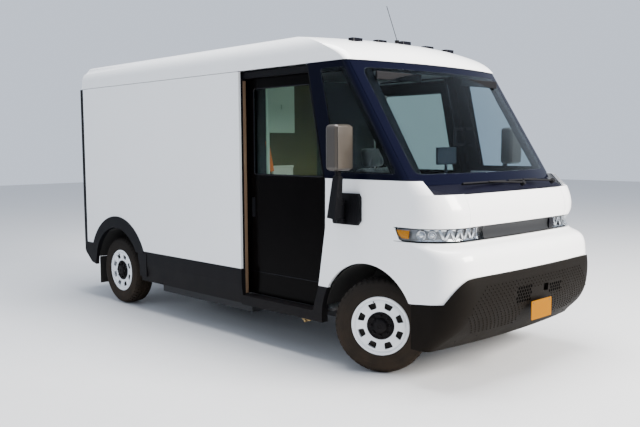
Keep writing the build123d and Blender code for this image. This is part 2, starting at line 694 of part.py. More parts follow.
def mirror_arm(side):
    """Folding arm that turns on an upright pin held by the base."""
    collar = rod_z(side * 1090, 215, 1224, 1343, 30)
    reach = loft([Plane(origin=(side * 1112, 211, 1282), z_dir=(side, -0.15, 0.05)) * Rectangle(70, 70),
                  Plane(origin=(side * 1176, 202, 1286), z_dir=(side, -0.15, 0.05)) * Rectangle(72, 72)])
    rise = loft([Plane(origin=(side * 1176, 202, 1236), z_dir=(0, -0.12, 1)) * Rectangle(84, 78),
                 Plane(origin=(side * 1170, 164, 1568), z_dir=(0, -0.12, 1)) * Rectangle(60, 52)])
    neck = rod_z(side * 1172, 160, 1560, 1612, 24)
    return collar + reach + rise + neck


def mirror_head(side):
    shell = soft_block(side * 1108, side * 1299, 50, 182, 1614, 1968, 34)
    shell -= block(side * 1122, side * 1285, 173, 200, 1630, 1953)
    glass = block(side * 1124, side * 1283, 169.5, 173, 1632, 1951)
    return shell + glass


WIPER_PIVOTS = {"right": (130, -672, 1488), "left": (600, -670, 1488)}
WIPER_LENGTHS = {"right": 620, "left": 560}
BLADE_SPANS = {"right": (0.21, 1.15), "left": (0.21, 0.99)}
GLASS_LEAN = degrees(atan2(ROOF_BASE - GAP - 1503, 85 + 562))


def wiper(name):
    """Arm, blade and pivot boss, parked along the foot of the windshield."""
    x, y, z = WIPER_PIVOTS[name]
    reach = WIPER_LENGTHS[name]
    boss = Pos(0, 0, 8) * Cylinder(20, 34)
    arm = rod_between((0, 0, 18), (-reach * 0.6, 62, -46), 8)
    near, far = (reach * part for part in BLADE_SPANS[name])
    blade = Pos(-(near + far) / 2, 62, -56) * Box(far - near, 12, 22)
    return Pos(x, y, z) * Rot(GLASS_LEAN, 0, 0) * (boss + arm + blade)


# ---- write every sub-part --------------------------------------------------------------
save("chassis_frame", chassis_frame())
save("battery_pack", battery_pack())
save("cargo_floor", cargo_floor())
save("suspension", suspension())
save("rear_axle", rear_axle())
save("side_panels", both(side_panel))
save("cargo_lining", both(cargo_lining), door_rails())
save("cargo_roof", cargo_roof())
save("cab_roof", cab_roof())
save("rear_portal", rear_portal())
save("tail_lamps", both(tail_lamp))
save("rear_bumper", rear_bumper())
save("side_skirts", both(side_skirt))
save("arch_liners", both(arch_liner))
save("front_clip", front_clip())
save("nose_panel", nose_panel())
save("front_bumper", front_bumper())
save("cowl", cowl())
save("windshield", windshield())
save("quarter_windows", both(quarter_window))
save("cab_frame", cab_frame())
save("bulkhead", bulkhead())
save("bulkhead_door", bulkhead_door())
save("dashboard", dashboard())
save("steering_wheel", steering_wheel())
save("seat_base", seat_base())
save("seat_cushion", seat_cushion())
save("seat_back", seat_back())
save("grab_rails", grab_rails())
save("brake_pedal", pedal(455, 90))
save("accelerator_pedal", pedal(330, 55))
save("headlamp_housings", headlamp_housings())
save("headlamp_lenses", headlamp_lenses())
save("light_bar", light_bar())
save("marker_lamps", marker_lamps())
save("antenna", antenna())
save("number_plate", number_plate())
save("mirror_bases", both(mirror_base))
for name, side in SIDES.items():
    save(f"cab_door_{name}", cab_door(side))
    save(f"door_window_{name}", door_window(side))
    save(f"rear_door_{name}", rear_door(side))
    save(f"mirror_arm_{name}", mirror_arm(side))
    save(f"mirror_head_{name}", mirror_head(side))
    save(f"wiper_{name}", wiper(name))
    save(f"knuckle_{name}", knuckle(side))
    for end, axle_y, steer in (("front", 0, STEER_REST), ("rear", WHEELBASE, 0)):
        place = wheel_place(side, axle_y, steer)
        save(f"tyre_{end}_{name}", place * tyre_solid())
        save(f"wheel_{end}_{name}", [place * solid for solid in rim_solids()])
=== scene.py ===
import json
import math

import bmesh
import bpy
from mathutils import Matrix, Vector
from mathutils.bvhtree import BVHTree


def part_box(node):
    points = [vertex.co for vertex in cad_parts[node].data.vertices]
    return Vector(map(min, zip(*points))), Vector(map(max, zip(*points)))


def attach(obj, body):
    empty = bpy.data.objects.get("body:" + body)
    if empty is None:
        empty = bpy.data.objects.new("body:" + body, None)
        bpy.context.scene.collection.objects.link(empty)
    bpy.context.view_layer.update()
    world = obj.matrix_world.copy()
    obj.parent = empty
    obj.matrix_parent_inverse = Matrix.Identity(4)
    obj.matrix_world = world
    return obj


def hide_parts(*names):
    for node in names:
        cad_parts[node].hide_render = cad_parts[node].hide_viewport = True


# %% [markdown]
# A walk-in mail truck is mostly large calm surfaces, so the looks depend on how those surfaces
# meet, on the glass, and on the small parts around the lamps, wheels and mirrors. All of it could
# be modelled here by hand, but the engineering model already gives every large panel in its true
# place, so it is loaded as it is. This script adds the finishes and the small pieces, each riding
# on the body that carries it. Sizes are in millimetres from the front axle, as a maker would
# measure them from the truck.

# %% Load the frame
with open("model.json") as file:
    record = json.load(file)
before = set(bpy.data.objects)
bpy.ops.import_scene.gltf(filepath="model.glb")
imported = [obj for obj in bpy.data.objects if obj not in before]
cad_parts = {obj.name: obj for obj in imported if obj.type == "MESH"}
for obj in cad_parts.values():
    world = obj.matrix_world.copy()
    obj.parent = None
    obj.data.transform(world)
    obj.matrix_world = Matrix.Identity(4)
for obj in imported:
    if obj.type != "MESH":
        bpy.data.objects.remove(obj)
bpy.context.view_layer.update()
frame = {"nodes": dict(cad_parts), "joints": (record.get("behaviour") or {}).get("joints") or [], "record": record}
nodes = frame["nodes"]
MM = 0.001
WHEELBASE = 3.898
rear_low, rear_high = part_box("tyre_rear_right")
FRONT_AXLE_Y = (rear_low[1] + rear_high[1]) / 2 - WHEELBASE
SIDES = {"right": -1, "left": 1}
print("front axle at y", round(FRONT_AXLE_Y, 4))


def at(x, y, z):
    """A point given in millimetres from the front axle, as metres in the truck's frame."""
    return Vector((x * MM, y * MM + FRONT_AXLE_Y, z * MM))


# %% [markdown]
# The camera stands off the truck's front right corner a little below the roof line. It could be
# aimed with a constraint, but its place, heading and lens are fixed values, so every render starts
# from the same three-quarter view.

# %% Camera
CAMERA_LENS = 43.41
CAMERA_SENSOR = 36.0
CAMERA_PLACE = (-5444, -4072, 1817)
CAMERA_HEADING, CAMERA_PITCH, CAMERA_ROLL = -43.918, 5.12, -0.378


def add_camera():
    data = bpy.data.cameras.new("camera")
    data.sensor_width = CAMERA_SENSOR
    data.lens = CAMERA_LENS
    camera = bpy.data.objects.new("camera", data)
    bpy.context.scene.collection.objects.link(camera)
    azimuth, pitch, roll = (math.radians(v) for v in (CAMERA_HEADING, CAMERA_PITCH, CAMERA_ROLL))
    level = math.cos(pitch)
    back = Vector((math.sin(azimuth) * level, -math.cos(azimuth) * level, math.sin(pitch)))
    right = (-back).cross(Vector((0, 0, 1))).normalized()
    up = right.cross(-back)
    right_2 = math.cos(roll) * right + math.sin(roll) * up
    up_2 = -math.sin(roll) * right + math.cos(roll) * up
    turn = Matrix((right_2, up_2, back)).transposed().to_4x4()
    camera.matrix_world = Matrix.Translation(at(*CAMERA_PLACE)) @ turn
    bpy.context.scene.camera = camera
    print("camera at", [round(v, 2) for v in camera.matrix_world.translation])


add_camera()


# %% [markdown]
# Mesh helpers. On the truck nearly every small part is a pressed, cast or moulded piece, and none
# has a knife-sharp edge. A piece could be typed in point by point, but here it starts as a
# primitive, is shaped and bevelled with Blender's own tools, and ends with its place in its mesh,
# so its object sits at the origin. The bevel on every edge is what catches the light.

# %% Mesh helpers
def only(obj):
    """Select one object alone and make it active."""
    for other in bpy.context.selected_objects:
        other.select_set(False)
    obj.select_set(True)
    bpy.context.view_layer.objects.active = obj


def settle(obj, angle=35):
    """Move the object's place into its mesh and smooth its gentle edges."""
    only(obj)
    bpy.ops.object.transform_apply(location=True, rotation=True, scale=True)
    bpy.ops.object.shade_smooth_by_angle(angle=math.radians(angle))
    return obj


def modify(obj, kind, **values):
    """Add one modifier, set it and apply it."""
    only(obj)
    modifier = obj.modifiers.new(kind.lower(), kind)
    for key, value in values.items():
        setattr(modifier, key, value)
    bpy.ops.object.modifier_apply(modifier=modifier.name)
    return obj


def bevel(obj, width, segments=3):
    return modify(obj, "BEVEL", width=width * MM, segments=segments, limit_method="ANGLE",
                  angle_limit=math.radians(30))


def new_box(name, low, high, round_mm=0, segments=3):
    """A bevelled box between two corners in millimetres from the front axle."""
    a, b = at(*low), at(*high)
    bpy.ops.mesh.primitive_cube_add(size=1, location=(a + b) / 2)
    obj = bpy.context.object
    obj.name = obj.data.name = name
    obj.scale = [abs(b[i] - a[i]) for i in range(3)]
    settle(obj)
    if round_mm:
        bevel(obj, round_mm, segments)
        settle(obj)
    return obj


def new_rod(name, start, end, radius, vertices=24, round_mm=1.5):
    """A bevelled round bar between two points in millimetres from the front axle."""
    a, b = at(*start), at(*end)
    run = b - a
    bpy.ops.mesh.primitive_cylinder_add(vertices=vertices, radius=radius * MM, depth=run.length,
                                        location=(a + b) / 2)
    obj = bpy.context.object
    obj.name = obj.data.name = name
    obj.rotation_euler = run.to_track_quat("Z", "Y").to_euler()
    settle(obj)
    if round_mm:
        bevel(obj, round_mm, 2)
    return settle(obj)


# %% [markdown]
# Turned parts and copies. Tyres, rims, caps and lamp bowls are round about an axle, so a spun
# outline gives them in one step, where a stack of cylinders would leave seams. Parts of one finish
# are joined. A left-hand part is a mirrored copy with a mesh of its own, and its faces are turned
# back the right way.

# %% Turning, joining and copying
def join(name, parts):
    """Several pieces of one finish, joined as one object."""
    only(parts[0])
    for part in parts[1:]:
        part.select_set(True)
    bpy.ops.object.join()
    obj = bpy.context.object
    obj.name = obj.data.name = name
    return obj


def lathe(name, profile, steps=96):
    """Spin a closed (along, radius) outline in millimetres about the X axis."""
    bpy.ops.mesh.primitive_circle_add(vertices=len(profile), radius=1, fill_type="NOTHING")
    obj = bpy.context.object
    obj.name = obj.data.name = name
    for vertex, (along, radius) in zip(obj.data.vertices, profile):
        vertex.co = (along * MM, 0, radius * MM)
    only(obj)
    bpy.ops.object.mode_set(mode="EDIT")
    bpy.ops.mesh.select_all(action="SELECT")
    bpy.ops.mesh.spin(steps=steps, angle=2 * math.pi, center=(0, 0, 0), axis=(1, 0, 0))
    bpy.ops.mesh.select_all(action="SELECT")
    bpy.ops.mesh.remove_doubles(threshold=0.00005)
    bpy.ops.mesh.normals_make_consistent(inside=False)
    bpy.ops.object.mode_set(mode="OBJECT")
    return settle(obj)


def copy_to(obj, name, matrix):
    """A copy with its own mesh, moved by a matrix; a mirrored one has its faces turned back."""
    copy = obj.copy()
    copy.data = obj.data.copy()
    copy.name = copy.data.name = name
    bpy.context.scene.collection.objects.link(copy)
    copy.data.transform(matrix)
    if matrix.determinant() < 0:
        copy.data.flip_normals()
    return copy


# %% [markdown]
# Handing a piece over. A real part is bolted to something that carries it, has one finish, and may
# stand in for a plain engineering shape. One helper says all of that for a piece, so none can be
# left riding on nothing, and a second one does it for both sides of the truck.

# %% Finish and body of a piece
MIRROR = Matrix.Scale(-1, 4, (1, 0, 0))


def finish(obj, body, material, slot, *replaced):
    """Give a piece its finish and its body; the slot is not used."""
    obj.data.materials.clear()
    obj.data.materials.append(material)
    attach(obj, body)
    if replaced:
        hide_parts(*replaced)
    return obj


def finish_pair(obj, body, material, slot):
    """A right-hand piece and its mirrored copy on the left."""
    name = obj.name.replace("_right", "")
    twin = copy_to(obj, name + "_left", MIRROR)
    obj.name = obj.data.name = name + "_right"
    for piece, side in ((obj, "right"), (twin, "left")):
        finish(piece, body.replace("SIDE", side), material, slot)
    return obj, twin


# %% [markdown]
# Finishes. Real paint, plastic and rubber are never one flat colour. Pictures could be wrapped
# round each part, but a small node tree keeps its scale on every part and needs no file: a base
# colour with a little variation, a roughness that is never quite even, and a bump at the grain
# size of the real surface. Patterns read Object coordinates, which are metres on the truck.

# %% Finish helper
def material(name, color, rough, grain=0, depth=0.0, vary=0.08, rough_vary=0.08, scale=6.0,
             dirt=0.0, **sockets):
    """A procedural finish: grain is bumps per metre, depth the bump height in millimetres."""
    mat = bpy.data.materials.new(name)
    mat.use_nodes = True
    tree = mat.node_tree
    links = tree.links
    shader = tree.nodes["Principled BSDF"]
    where = tree.nodes.new("ShaderNodeTexCoord")
    cloud = tree.nodes.new("ShaderNodeTexNoise")
    cloud.inputs["Scale"].default_value = scale
    cloud.inputs["Detail"].default_value = 5
    links.new(where.outputs["Object"], cloud.inputs["Vector"])
    ramp = tree.nodes.new("ShaderNodeValToRGB")
    low = [max(0, c * (1 - vary)) for c in color]
    high = [min(1, c * (1 + vary)) for c in color]
    ramp.color_ramp.elements[0].color = (*low, 1)
    ramp.color_ramp.elements[1].color = (*high, 1)
    links.new(cloud.outputs["Fac"], ramp.inputs["Fac"])
    color_out = ramp.outputs["Color"]
    if dirt:
        color_out = add_dirt(tree, where, color_out, dirt)
    links.new(color_out, shader.inputs["Base Color"])
    spread = tree.nodes.new("ShaderNodeMapRange")
    spread.inputs["To Min"].default_value = max(0.02, rough - rough_vary)
    spread.inputs["To Max"].default_value = min(1, rough + rough_vary)
    links.new(cloud.outputs["Fac"], spread.inputs["Value"])
    links.new(spread.outputs["Result"], shader.inputs["Roughness"])
    if grain:
        fine = tree.nodes.new("ShaderNodeTexNoise")
        fine.inputs["Scale"].default_value = grain
        fine.inputs["Detail"].default_value = 3
        links.new(where.outputs["Object"], fine.inputs["Vector"])
        bump = tree.nodes.new("ShaderNodeBump")
        bump.inputs["Distance"].default_value = depth * MM
        links.new(fine.outputs["Fac"], bump.inputs["Height"])
        links.new(bump.outputs["Normal"], shader.inputs["Normal"])
    for key, value in sockets.items():
        shader.inputs[key.replace("_", " ")].default_value = value
    return mat


def add_dirt(tree, where, color_out, amount):
    """Road dust that fades out above the sills."""
    split = tree.nodes.new("ShaderNodeSeparateXYZ")
    tree.links.new(where.outputs["Object"], split.inputs["Vector"])
    fade = tree.nodes.new("ShaderNodeMapRange")
    fade.inputs["From Min"].default_value = 0.15
    fade.inputs["From Max"].default_value = 0.75
    fade.inputs["To Min"].default_value = amount
    fade.inputs["To Max"].default_value = 0.0
    tree.links.new(split.outputs["Z"], fade.inputs["Value"])
    patch = tree.nodes.new("ShaderNodeTexNoise")
    patch.inputs["Scale"].default_value = 9
    patch.inputs["Detail"].default_value = 8
    tree.links.new(where.outputs["Object"], patch.inputs["Vector"])
    weigh = tree.nodes.new("ShaderNodeMath")
    weigh.operation = "MULTIPLY"
    tree.links.new(fade.outputs["Result"], weigh.inputs[0])
    tree.links.new(patch.outputs["Fac"], weigh.inputs[1])
    mix = tree.nodes.new("ShaderNodeMix")
    mix.data_type = "RGBA"
    mix.inputs["B"].default_value = (0.075, 0.048, 0.028, 1)
    tree.links.new(weigh.outputs["Value"], mix.inputs["Factor"])
    tree.links.new(color_out, mix.inputs["A"])
    return mix.outputs["Result"]


# %% [markdown]
# The finishes of this truck. The body is plain white gloss paint, and everything round it is
# black: moulded trim, gloss doors, a charcoal bumper and dusty rubber. The black ones have very
# low colour and gloss, because a bright studio would turn an ordinary black into grey.

# %% Paints, plastics and metals
white_paint = material("white_paint", (0.88, 0.885, 0.89), 0.30, 900, 0.02, 0.012, 0.05, 2.0,
                       Coat_Weight=0.6, Coat_Roughness=0.08)
black_trim = material("black_trim", (0.0050, 0.0050, 0.0062), 0.55, 1100, 0.25, 0.25, 0.1, dirt=0.12,
                      Specular_IOR_Level=0.08)
charcoal = material("charcoal_plastic", (0.0040, 0.0032, 0.0025), 0.60, 900, 0.3, 0.2, 0.1, dirt=0.08,
                    Specular_IOR_Level=0.05)
gloss_black = material("gloss_black", (0.002, 0.002, 0.004), 0.12, 30, 0.02, 0.2, 0.03,
                       Specular_IOR_Level=0.2)
door_black = material("door_black", (0.0016, 0.0012, 0.0012), 0.20, 60, 0.02, 0.3, 0.05,
                      Specular_IOR_Level=0.03)
cowl_black = material("cowl_black", (0.0030, 0.0030, 0.0075), 0.5, 1100, 0.2, 0.2, 0.1,
                      Specular_IOR_Level=0.03)
liner_black = material("liner_black", (0.010, 0.009, 0.008), 0.9, 500, 1.0, 0.3, dirt=0.2)
rubber = material("tyre_rubber", (0.011, 0.0092, 0.0078), 0.78, 700, 0.3, 0.25, 0.1, 12, dirt=0.45,
                  Specular_IOR_Level=0.12)
white_steel = material("white_steel", (0.80, 0.82, 0.84), 0.34, 700, 0.05, 0.03, 0.06, 8,
                       Coat_Weight=0.3)
cast_metal = material("cast_metal", (0.07, 0.065, 0.06), 0.6, 350, 0.6, 0.3, Metallic=0.7)
chassis_black = material("chassis_black", (0.008, 0.008, 0.008), 0.5, 400, 0.3, 0.3, dirt=0.4,
                         Specular_IOR_Level=0.15)
battery_case = material("battery_case", (0.030, 0.030, 0.032), 0.60, 260, 0.3, 0.2,
                        Specular_IOR_Level=0.2)
floor_plate = material("floor_plate", (0.16, 0.16, 0.165), 0.5, 120, 0.8, 0.2, Metallic=0.4)
grey_lining = material("grey_lining", (0.52, 0.56, 0.55), 0.45, 500, 0.1, 0.05)
dash_plastic = material("dash_plastic", (0.018, 0.022, 0.030), 0.55, 1500, 0.2, 0.15,
                        Specular_IOR_Level=0.2)
pale_rail = material("pale_rail", (0.55, 0.66, 0.62), 0.35, 600, 0.05, 0.05)
chrome = material("lamp_chrome", (0.60, 0.60, 0.62), 0.16, 40, 0.05, 0.04, 0.04, Metallic=1.0)
satin_grey = material("satin_grey", (0.016, 0.017, 0.019), 0.45, 500, 0.05, 0.1, Specular_IOR_Level=0.08)
plate_orange = material("orange_plate", (0.205, 0.080, 0.0), 0.5, 500, 0.05, 0.05,
                        Specular_IOR_Level=0.03)
amber = material("amber_lens", (0.48, 0.17, 0.0), 0.25, 90, 0.3, 0.1, Specular_IOR_Level=0.15)
red_lens = material("red_lens", (0.42, 0.008, 0.010), 0.12, 220, 0.4, 0.15)
belt_orange = material("belt_webbing", (0.80, 0.16, 0.03), 0.75, 2200, 0.5, 0.12)
screen_glass = material("screen_glass", (0.02, 0.03, 0.05), 0.12, 60, 0.02, 0.2)
box_card = material("pale_box", (0.62, 0.60, 0.55), 0.7, 700, 0.2, 0.08)
mirror_face = material("mirror_face", (0.62, 0.58, 0.54), 0.05, 20, 0.01, 0.02, 0.02, Metallic=1.0)
# Painted shade: near-black for the inside of the bumper's vent holes.
vent_hole_shade = material("shadow_gap", (0.0006, 0.0006, 0.0006), 0.9, 300, 0.1, 0.2, Specular_IOR_Level=0.0)


print("plain finishes", len(bpy.data.materials))

# %% [markdown]
# Glass and seat cloth. The panes are tinted sheets. With the full index of glass they would mirror
# the bright room and hide the cab, so the index is kept low. The seat cloth is a plain weave, and
# two crossed wave patterns in the bump read as cloth where real threads would be far too many.

# %% Glass and cloth
def glass(name, color, rough):
    """Clear sheet glass: it transmits, with a faint waviness and a film of dust."""
    return material(name, color, rough, 3, 0.02, 0.02, 0.01, Transmission_Weight=1.0, IOR=1.12)


clear_glass = glass("clear_glass", (0.46, 0.55, 0.60), 0.03)
quarter_glass = glass("quarter_glass", (0.62, 0.70, 0.72), 0.03)
tinted_glass = glass("tinted_glass", (0.48, 0.58, 0.50), 0.03)
clear_lens = glass("clear_lens", (0.93, 0.96, 0.97), 0.02)


def woven(name, color, thread=650):
    """Woven seat cloth: two crossed rows of threads."""
    mat = material(name, color, 0.85, 0, 0, 0.25, 0.08, 30, Sheen_Weight=0.3)
    tree = mat.node_tree
    where = next(n for n in tree.nodes if n.type == "TEX_COORD")
    waves = []
    for axis in ("X", "Z"):
        wave = tree.nodes.new("ShaderNodeTexWave")
        wave.bands_direction = axis
        wave.inputs["Scale"].default_value = thread / 6
        wave.inputs["Distortion"].default_value = 0.6
        tree.links.new(where.outputs["Object"], wave.inputs["Vector"])
        waves.append(wave)
    both = tree.nodes.new("ShaderNodeMath")
    both.operation = "MAXIMUM"
    for index, wave in enumerate(waves):
        tree.links.new(wave.outputs["Fac"], both.inputs[index])
    bump = tree.nodes.new("ShaderNodeBump")
    bump.inputs["Distance"].default_value = 0.8 * MM
    tree.links.new(both.outputs["Value"], bump.inputs["Height"])
    tree.links.new(bump.outputs["Normal"], tree.nodes["Principled BSDF"].inputs["Normal"])
    return mat


seat_fabric = woven("seat_fabric", (0.045, 0.048, 0.055))
SLOT_FINISH = {
    "white_paint": white_paint, "black_trim": black_trim, "charcoal_plastic": charcoal,
    "gloss_black": gloss_black, "clear_glass": clear_glass, "tinted_glass": tinted_glass,
    "clear_lens": clear_lens, "red_lens": red_lens, "lamp_chrome": chrome, "satin_grey": satin_grey,
    "chassis_black": chassis_black, "cast_metal": cast_metal, "battery_case": battery_case,
    "floor_plate": floor_plate, "grey_lining": grey_lining, "liner_black": liner_black,
    "dash_plastic": dash_plastic, "seat_fabric": seat_fabric, "pale_rail": pale_rail,
    "orange_plate": plate_orange, "tyre_rubber": rubber, "white_steel": white_steel}


# %% [markdown]
# The glass on this truck has a wide black printed border that hides the glue and the pillars; its navy
# look in daylight is a reflection of the sky, painted into the border's colour. It could be a thin
# frame laid on the pane, but a frame would lift off the curve, so it is drawn in the glass itself:
# the clear area is bounded by planes, and outside them the pane is opaque, almost black and tinted
# navy as a painted reflection. The same helper gives the linings their two tones.

# %% Printed glass borders and two-tone linings
def plane_distance(tree, position, normal, point):
    """Signed distance of the shaded spot from a plane, in metres."""
    dot = tree.nodes.new("ShaderNodeVectorMath")
    dot.operation = "DOT_PRODUCT"
    dot.inputs[1].default_value = normal
    tree.links.new(position, dot.inputs[0])
    shift = tree.nodes.new("ShaderNodeMath")
    shift.operation = "SUBTRACT"
    shift.inputs[1].default_value = Vector(normal).dot(Vector(point))
    tree.links.new(dot.outputs["Value"], shift.inputs[0])
    return shift.outputs["Value"]


def outside_color(mat, planes, color, soft=0.05, mirrored=False, printed=False):
    """Recolour a finish outside the area that lies in front of every plane; print lets no light by."""
    tree = mat.node_tree
    where = next(n for n in tree.nodes if n.type == "TEX_COORD")
    position = where.outputs["Object"]
    if mirrored:
        fold = tree.nodes.new("ShaderNodeVectorMath")
        fold.operation = "ABSOLUTE"
        tree.links.new(position, fold.inputs[0])
        position = fold.outputs["Vector"]
    nearest = None
    for normal, point in planes:
        distance = plane_distance(tree, position, normal, point)
        if nearest is None:
            nearest = distance
            continue
        least = tree.nodes.new("ShaderNodeMath")
        least.operation = "SMOOTH_MIN"
        least.inputs[2].default_value = soft
        tree.links.new(nearest, least.inputs[0])
        tree.links.new(distance, least.inputs[1])
        nearest = least.outputs["Value"]
    step = tree.nodes.new("ShaderNodeMapRange")
    step.inputs["From Min"].default_value = -0.0002
    step.inputs["From Max"].default_value = 0.0002
    tree.links.new(nearest, step.inputs["Value"])
    mix = tree.nodes.new("ShaderNodeMix")
    mix.data_type = "RGBA"
    mix.inputs["A"].default_value = (*color, 1)
    shader = tree.nodes["Principled BSDF"]
    old = shader.inputs["Base Color"].links[0].from_socket
    tree.links.new(step.outputs["Result"], mix.inputs["Factor"])
    tree.links.new(old, mix.inputs["B"])
    tree.links.new(mix.outputs["Result"], shader.inputs["Base Color"])
    if printed:
        tree.links.new(step.outputs["Result"], shader.inputs["Transmission Weight"])


# %% [markdown]
# Which part gets what. The record names one slot for every part, and most parts simply take the
# finish of their slot. A few need one of their own, such as the panes with their printed border,
# the partition door with its pale upper half, and the grab rails, pale on one side of the cab and
# black on the other.

# %% Finishes given to the engineering parts
# Black print on the glass; its navy tint is a painted reflection of the blue sky.
FRIT_WITH_PAINTED_SKY = (0.0022, 0.0026, 0.0080)
outside_color(clear_glass, [((-1, 0, 0), (0.915, 0, 0)), ((0, 0, 1), (0, 0, 1.585)),
                            ((0, 0, -1), (0, 0, 2.425))], FRIT_WITH_PAINTED_SKY, 0.10, mirrored=True, printed=True)
outside_color(quarter_glass, [((0, 0.841, -0.541), at(0, -310, 1590)),
                              ((0, -0.976, 0.218), at(0, 310, 1590)),
                              ((0, 0, 1), (0, 0, 1.59)), ((0, 0, -1), (0, 0, 2.43))],
              FRIT_WITH_PAINTED_SKY, 0.04, printed=True)
lining_finish = material("cargo_lining", (0.52, 0.56, 0.55), 0.45, 500, 0.1, 0.05)
outside_color(lining_finish, [((-1, 0, 0), (0.87, 0, 0))], (0.008, 0.008, 0.008), 0, mirrored=True)
door_panel = material("partition_door", (0.60, 0.70, 0.62), 0.4, 400, 0.1, 0.04)
outside_color(door_panel, [((-1, 0, 0), (-0.35, 0, 0)), ((0, 0, 1), (0, 0, 1.93))],
              (0.060, 0.050, 0.012), 0)
rail_finish = material("grab_rail", (0.55, 0.66, 0.62), 0.35, 600, 0.05, 0.05)
outside_color(rail_finish, [((-1, 0, 0), (0, 0, 0))], (0.006, 0.006, 0.008), 0)
head_cover = material("mirror_cover", (0.030, 0.024, 0.018), 0.32, 700, 0.15, 0.2, 0.08)
SPECIAL_FINISH = {"cab_door_right": door_black, "cab_door_left": door_black, "windshield": clear_glass,
                  "quarter_windows": quarter_glass, "bulkhead": dash_plastic, "cargo_lining": lining_finish,
                  "bulkhead_door": door_panel, "cowl": cowl_black, "grab_rails": rail_finish,
                  "cab_frame": black_trim, "marker_lamps": gloss_black,
                  "mirror_head_right": head_cover, "mirror_head_left": head_cover}
for part in frame["record"]["subparts"]:
    node = part["node"]
    finish_of = SPECIAL_FINISH.get(node, SLOT_FINISH[part["material_slot"]])
    nodes[node].data.materials.clear()
    nodes[node].data.materials.append(finish_of)
print("finishes", len(bpy.data.materials))

# %% [markdown]
# The tyres. A light-truck tyre has a square tread with four round-the-tyre grooves, shoulder
# blocks cut by cross grooves, and a sidewall with raised rings. Its blocks could be laid one by one
# round a hoop, but a tyre is moulded in one, so its cross-section is spun in one, and every third
# shoulder face is pushed in to cut the blocks. Each wheel part is drawn once at the origin, with the
# axle along X and the outer face at -X, and is copied to the four corners at the end.

# %% Tyre
TYRE_RADIUS = 382
SHOULDER_FROM = 64
BLOCK_RADIUS, TREAD_RADIUS = 345, 376
BLOCK_CUT, SIPE_CUT = 6, 4


def tyre_profile():
    side = [(94, 237), (104, 240), (109, 247), (111, 252), (110.5, 256), (112, 262), (112.5, 285),
            (112, 300), (113, 302), (113, 305), (111.5, 307), (110, 322), (108, 336), (104, 349),
            (99, 360), (90, 370), (78, 376), (66, 378.5), (60, 379.5), (57, 370), (50, 370), (47, 380),
            (22, TYRE_RADIUS - 0.5), (19, 371), (12, 371), (9, TYRE_RADIUS)]
    mirrored = [(-x, r) for x, r in reversed(side)]
    return side + mirrored


def push_faces(obj, chosen, depth):
    """Push the chosen faces of a mesh inwards as cut grooves."""
    only(obj)
    bpy.ops.object.mode_set(mode="EDIT")
    bpy.ops.mesh.select_all(action="DESELECT")
    bpy.ops.mesh.select_mode(type="FACE")
    work = bmesh.from_edit_mesh(obj.data)
    for face in work.faces:
        face.select = chosen(face)
    bmesh.update_edit_mesh(obj.data)
    bpy.ops.mesh.extrude_region_shrink_fatten(TRANSFORM_OT_shrink_fatten={"value": -depth * MM})
    bpy.ops.mesh.select_all(action="DESELECT")
    bpy.ops.object.mode_set(mode="OBJECT")


def around(face):
    """How far round the axle a face lies, in turns."""
    middle = face.calc_center_median()
    return (math.atan2(middle.y, middle.z) / (2 * math.pi)) % 1.0


TREAD_STEPS = 144
tyre = lathe("tyre", tyre_profile(), TREAD_STEPS)


def tread_place(face):
    """A face's radius, its distance from the middle of the tread, and its third of a block."""
    middle = face.calc_center_median()
    third = int(around(face) * TREAD_STEPS) % 3
    return math.hypot(middle.y, middle.z) / MM, abs(middle.x) / MM, third


def is_block_gap(face):
    radius, lateral, third = tread_place(face)
    return radius > BLOCK_RADIUS and lateral > SHOULDER_FROM and third == 0


def is_sipe(face):
    radius, lateral, third = tread_place(face)
    return radius > TREAD_RADIUS and 22 < lateral < 48 and third == 1


push_faces(tyre, is_block_gap, BLOCK_CUT)
push_faces(tyre, is_sipe, SIPE_CUT)
settle(tyre, 25)
print("tyre faces", len(tyre.data.polygons))

# %% [markdown]
# The steel wheel. A real one is a rolled barrel welded to a pressed disc with eight hand holes. Both
# are spun outlines, and the windows are cut through the disc with eight rounded wedges in one
# Boolean, which leaves true thickness at each hole. A small bevel then softens the pressed edges.

# %% Steel wheel
barrel = lathe("barrel", [(-98, 235), (-99.5, 232), (-99, 220), (-92, 214), (-82, 208), (-64, 198),
                          (66, 198), (84, 208), (96, 216), (99, 220), (99, 235), (94, 236), (92, 222),
                          (80, 214), (62, 205), (-60, 205), (-80, 215), (-90, 221), (-93, 233),
                          (-95, 236)], 96)
disc = lathe("disc", [(-80, 210), (-90, 203), (-95, 192), (-95.5, 180), (-92, 166), (-88, 140), (-86, 118),
                      (-82, 104), (-78, 98), (-76, 60), (-70, 60), (-70, 96), (-74, 104), (-78, 118),
                      (-80, 140), (-84, 166), (-87, 180), (-86, 190), (-80, 198), (-74, 204)], 96)


WINDOWS = 8
WINDOW_RADIUS = 0.164
WINDOW_TAPER = 0.72


def window_cutter(index):
    """A wedge-shaped rounded block that cuts one window through the wheel disc."""
    bpy.ops.mesh.primitive_cube_add(size=1, location=(-0.085, 0, WINDOW_RADIUS))
    cutter = bpy.context.object
    cutter.scale = (0.08, 0.072, 0.050)
    settle(cutter)
    for vertex in cutter.data.vertices:
        if vertex.co.z < WINDOW_RADIUS:
            vertex.co.y *= WINDOW_TAPER
    bevel(cutter, 9, 3)
    turn = math.radians(360 / WINDOWS * (index + 0.5))
    cutter.data.transform(Matrix.Rotation(turn, 4, "X"))
    return cutter


cutters = join("window_cutters", [window_cutter(index) for index in range(WINDOWS)])
modify(disc, "BOOLEAN", object=cutters, operation="DIFFERENCE", solver="EXACT")
bpy.data.objects.remove(cutters)
bevel(disc, 1.2, 2)
wheel_steel = join("wheel_steel", [barrel, disc])
settle(wheel_steel, 30)
print("wheel faces", len(wheel_steel.data.polygons))
